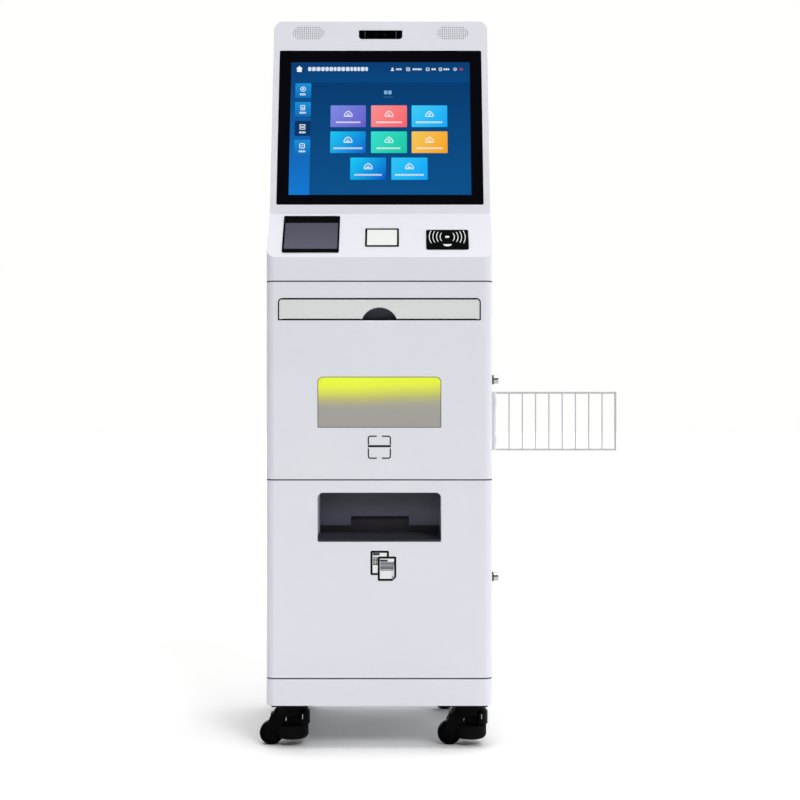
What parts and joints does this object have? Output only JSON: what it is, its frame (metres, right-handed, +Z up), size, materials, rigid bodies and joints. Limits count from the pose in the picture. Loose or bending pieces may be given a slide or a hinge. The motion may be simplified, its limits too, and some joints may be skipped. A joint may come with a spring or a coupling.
{
  "type": "self-service kiosk",
  "caption": "Floor-standing self-service kiosk with a tilted touch screen, deck readers, document drawer, printer bay, hinged doors, side rack and levelling casters.",
  "frame": {"origin": "on the floor under the middle of the cabinet", "axes": "+X to the right seen from the front, +Y from the front to the rear, +Z up"},
  "size_m": [0.7279, 0.453, 1.5094],
  "materials": {
    "white_paint": "fine powder coat, cool white",
    "bare_steel": "zinc plated sheet",
    "lock_chrome": "turned and plated",
    "screen_glass": "black bordered glass",
    "dark_plastic": "fine moulded grain",
    "black_plastic": "satin black",
    "reader_glass": "dark grey glass",
    "code_pane": "opal pane",
    "scan_pane": "lit diffusing pane, yellow at the top",
    "printer_plastic": "moulded case",
    "finned_aluminium": "black anodised",
    "rack_paint": "light grey coated wire",
    "caster_paint": "satin black die casting",
    "wheel_nylon": "black nylon",
    "pad_rubber": "moulded rubber"
  },
  "bodies": {
    "cabinet": {"base_plinth": "white_paint", "left_side_panel": "white_paint", "right_side_panel": "white_paint", "rear_panel": "white_paint", "top_plate": "white_paint", "shelves": "white_paint", "hinge_pins": "bare_steel", "lock_strikes": "bare_steel", "head_shell": "white_paint", "head_rear_cover": "white_paint", "touch_glass": "screen_glass", "monitor_frame": "dark_plastic", "lcd_module": "dark_plastic", "camera_unit": "black_plastic", "speaker_grilles": "white_paint", "speaker_drivers": "dark_plastic", "passport_reader": "black_plastic", "passport_glass": "reader_glass", "code_reader_frame": "black_plastic", "code_reader_window": "code_pane", "card_reader": "black_plastic", "slide_outer": "bare_steel", "printer": "printer_plastic", "control_computer": "finned_aluminium", "power_supply": "bare_steel", "power_inlet": "black_plastic", "rack_brackets": "rack_paint", "caster_plates": "caster_paint"},
    "upper_door": {"upper_door": "white_paint", "upper_lock_body": "lock_chrome", "scan_window": "scan_pane", "scan_module": "dark_plastic"},
    "lower_door": {"lower_door": "white_paint", "lower_lock_body": "lock_chrome", "print_bay_liner": "white_paint", "print_hood": "dark_plastic", "output_tray": "dark_plastic"},
    "upper_lock": {"upper_lock_plug": "lock_chrome"},
    "lower_lock": {"lower_lock_plug": "lock_chrome"},
    "drawer": {"drawer_front": "white_paint", "drawer_tray": "dark_plastic", "slide_inner": "bare_steel"},
    "drawer_slides": {"slide_middle": "bare_steel"},
    "side_rack": {"side_rack": "rack_paint"},
    "fork_fl": {"caster_fork_fl": "caster_paint"},
    "wheel_fl": {"caster_wheel_fl": "wheel_nylon"},
    "foot_fl": {"caster_foot_fl": "pad_rubber"},
    "adjuster_fl": {"caster_adjuster_fl": "wheel_nylon"},
    "fork_fr": {"caster_fork_fr": "caster_paint"},
    "wheel_fr": {"caster_wheel_fr": "wheel_nylon"},
    "foot_fr": {"caster_foot_fr": "pad_rubber"},
    "adjuster_fr": {"caster_adjuster_fr": "wheel_nylon"},
    "fork_rl": {"caster_fork_rl": "caster_paint"},
    "wheel_rl": {"caster_wheel_rl": "wheel_nylon"},
    "foot_rl": {"caster_foot_rl": "pad_rubber"},
    "adjuster_rl": {"caster_adjuster_rl": "wheel_nylon"},
    "fork_rr": {"caster_fork_rr": "caster_paint"},
    "wheel_rr": {"caster_wheel_rr": "wheel_nylon"},
    "foot_rr": {"caster_foot_rr": "pad_rubber"},
    "adjuster_rr": {"caster_adjuster_rr": "wheel_nylon"}
  },
  "joints": [
    {"name": "upper_door_hinge", "type": "hinge", "parent": "cabinet", "child": "upper_door", "pos_m": [-0.22325, -0.18, 0.7394], "axis": [0, 0, -1], "range_deg": [0, 105]},
    {"name": "lower_door_hinge", "type": "hinge", "parent": "cabinet", "child": "lower_door", "pos_m": [-0.22325, -0.18, 0.3411], "axis": [0, 0, -1], "range_deg": [0, 105]},
    {"name": "upper_lock_turn", "type": "hinge", "parent": "upper_door", "child": "upper_lock", "pos_m": [0.22725, -0.197, 0.7415], "axis": [1, 0, 0], "range_deg": [0, 90]},
    {"name": "lower_lock_turn", "type": "hinge", "parent": "lower_door", "child": "lower_lock", "pos_m": [0.22725, -0.197, 0.3432], "axis": [1, 0, 0], "range_deg": [0, 90]},
    {"name": "drawer_slide", "type": "slide", "parent": "cabinet", "child": "drawer", "axis": [0, -1, 0], "range_m": [0, 0.29]},
    {"name": "slide_members", "type": "slide", "parent": "cabinet", "child": "drawer_slides", "axis": [0, -1, 0], "range_m": [0, 0.145]},
    {"name": "rack_swing", "type": "hinge", "parent": "cabinet", "child": "side_rack", "pos_m": [0.23285, -0.165, 0.6568], "axis": [0, 0, 1], "range_deg": [0, 90]},
    {"name": "swivel_fl", "type": "hinge", "parent": "cabinet", "child": "fork_fl", "pos_m": [-0.181, -0.175, 0.072], "axis": [0, 0, 1], "continuous": true},
    {"name": "roll_fl", "type": "hinge", "parent": "fork_fl", "child": "wheel_fl", "pos_m": [-0.22, -0.175, 0.024], "axis": [0, 1, 0], "continuous": true},
    {"name": "level_fl", "type": "slide", "parent": "fork_fl", "child": "foot_fl", "axis": [0, 0, -1], "range_m": [0, 0.016]},
    {"name": "thumb_fl", "type": "hinge", "parent": "foot_fl", "child": "adjuster_fl", "pos_m": [-0.17, -0.175, 0.051], "axis": [0, 0, -1], "range_deg": [0, 2880]},
    {"name": "swivel_fr", "type": "hinge", "parent": "cabinet", "child": "fork_fr", "pos_m": [0.181, -0.175, 0.072], "axis": [0, 0, 1], "continuous": true},
    {"name": "roll_fr", "type": "hinge", "parent": "fork_fr", "child": "wheel_fr", "pos_m": [0.142, -0.175, 0.024], "axis": [0, 1, 0], "continuous": true},
    {"name": "level_fr", "type": "slide", "parent": "fork_fr", "child": "foot_fr", "axis": [0, 0, -1], "range_m": [0, 0.016]},
    {"name": "thumb_fr", "type": "hinge", "parent": "foot_fr", "child": "adjuster_fr", "pos_m": [0.192, -0.175, 0.051], "axis": [0, 0, -1], "range_deg": [0, 2880]},
    {"name": "swivel_rl", "type": "hinge", "parent": "cabinet", "child": "fork_rl", "pos_m": [-0.181, 0.175, 0.072], "axis": [0, 0, 1], "continuous": true},
    {"name": "roll_rl", "type": "hinge", "parent": "fork_rl", "child": "wheel_rl", "pos_m": [-0.22, 0.175, 0.024], "axis": [0, 1, 0], "continuous": true},
    {"name": "level_rl", "type": "slide", "parent": "fork_rl", "child": "foot_rl", "axis": [0, 0, -1], "range_m": [0, 0.016]},
    {"name": "thumb_rl", "type": "hinge", "parent": "foot_rl", "child": "adjuster_rl", "pos_m": [-0.17, 0.175, 0.051], "axis": [0, 0, -1], "range_deg": [0, 2880]},
    {"name": "swivel_rr", "type": "hinge", "parent": "cabinet", "child": "fork_rr", "pos_m": [0.181, 0.175, 0.072], "axis": [0, 0, 1], "continuous": true},
    {"name": "roll_rr", "type": "hinge", "parent": "fork_rr", "child": "wheel_rr", "pos_m": [0.142, 0.175, 0.024], "axis": [0, 1, 0], "continuous": true},
    {"name": "level_rr", "type": "slide", "parent": "fork_rr", "child": "foot_rr", "axis": [0, 0, -1], "range_m": [0, 0.016]},
    {"name": "thumb_rr", "type": "hinge", "parent": "foot_rr", "child": "adjuster_rr", "pos_m": [0.192, 0.175, 0.051], "axis": [0, 0, -1], "range_deg": [0, 2880]}
  ],
  "couplings": [
    {"joint": "slide_members", "follows": "drawer_slide", "ratio": 0.5},
    {"joint": "thumb_fl", "follows": "level_fl", "rad_per_m": 3141.6},
    {"joint": "thumb_fr", "follows": "level_fr", "rad_per_m": 3141.6},
    {"joint": "thumb_rl", "follows": "level_rl", "rad_per_m": 3141.6},
    {"joint": "thumb_rr", "follows": "level_rr", "rad_per_m": 3141.6}
  ]
}
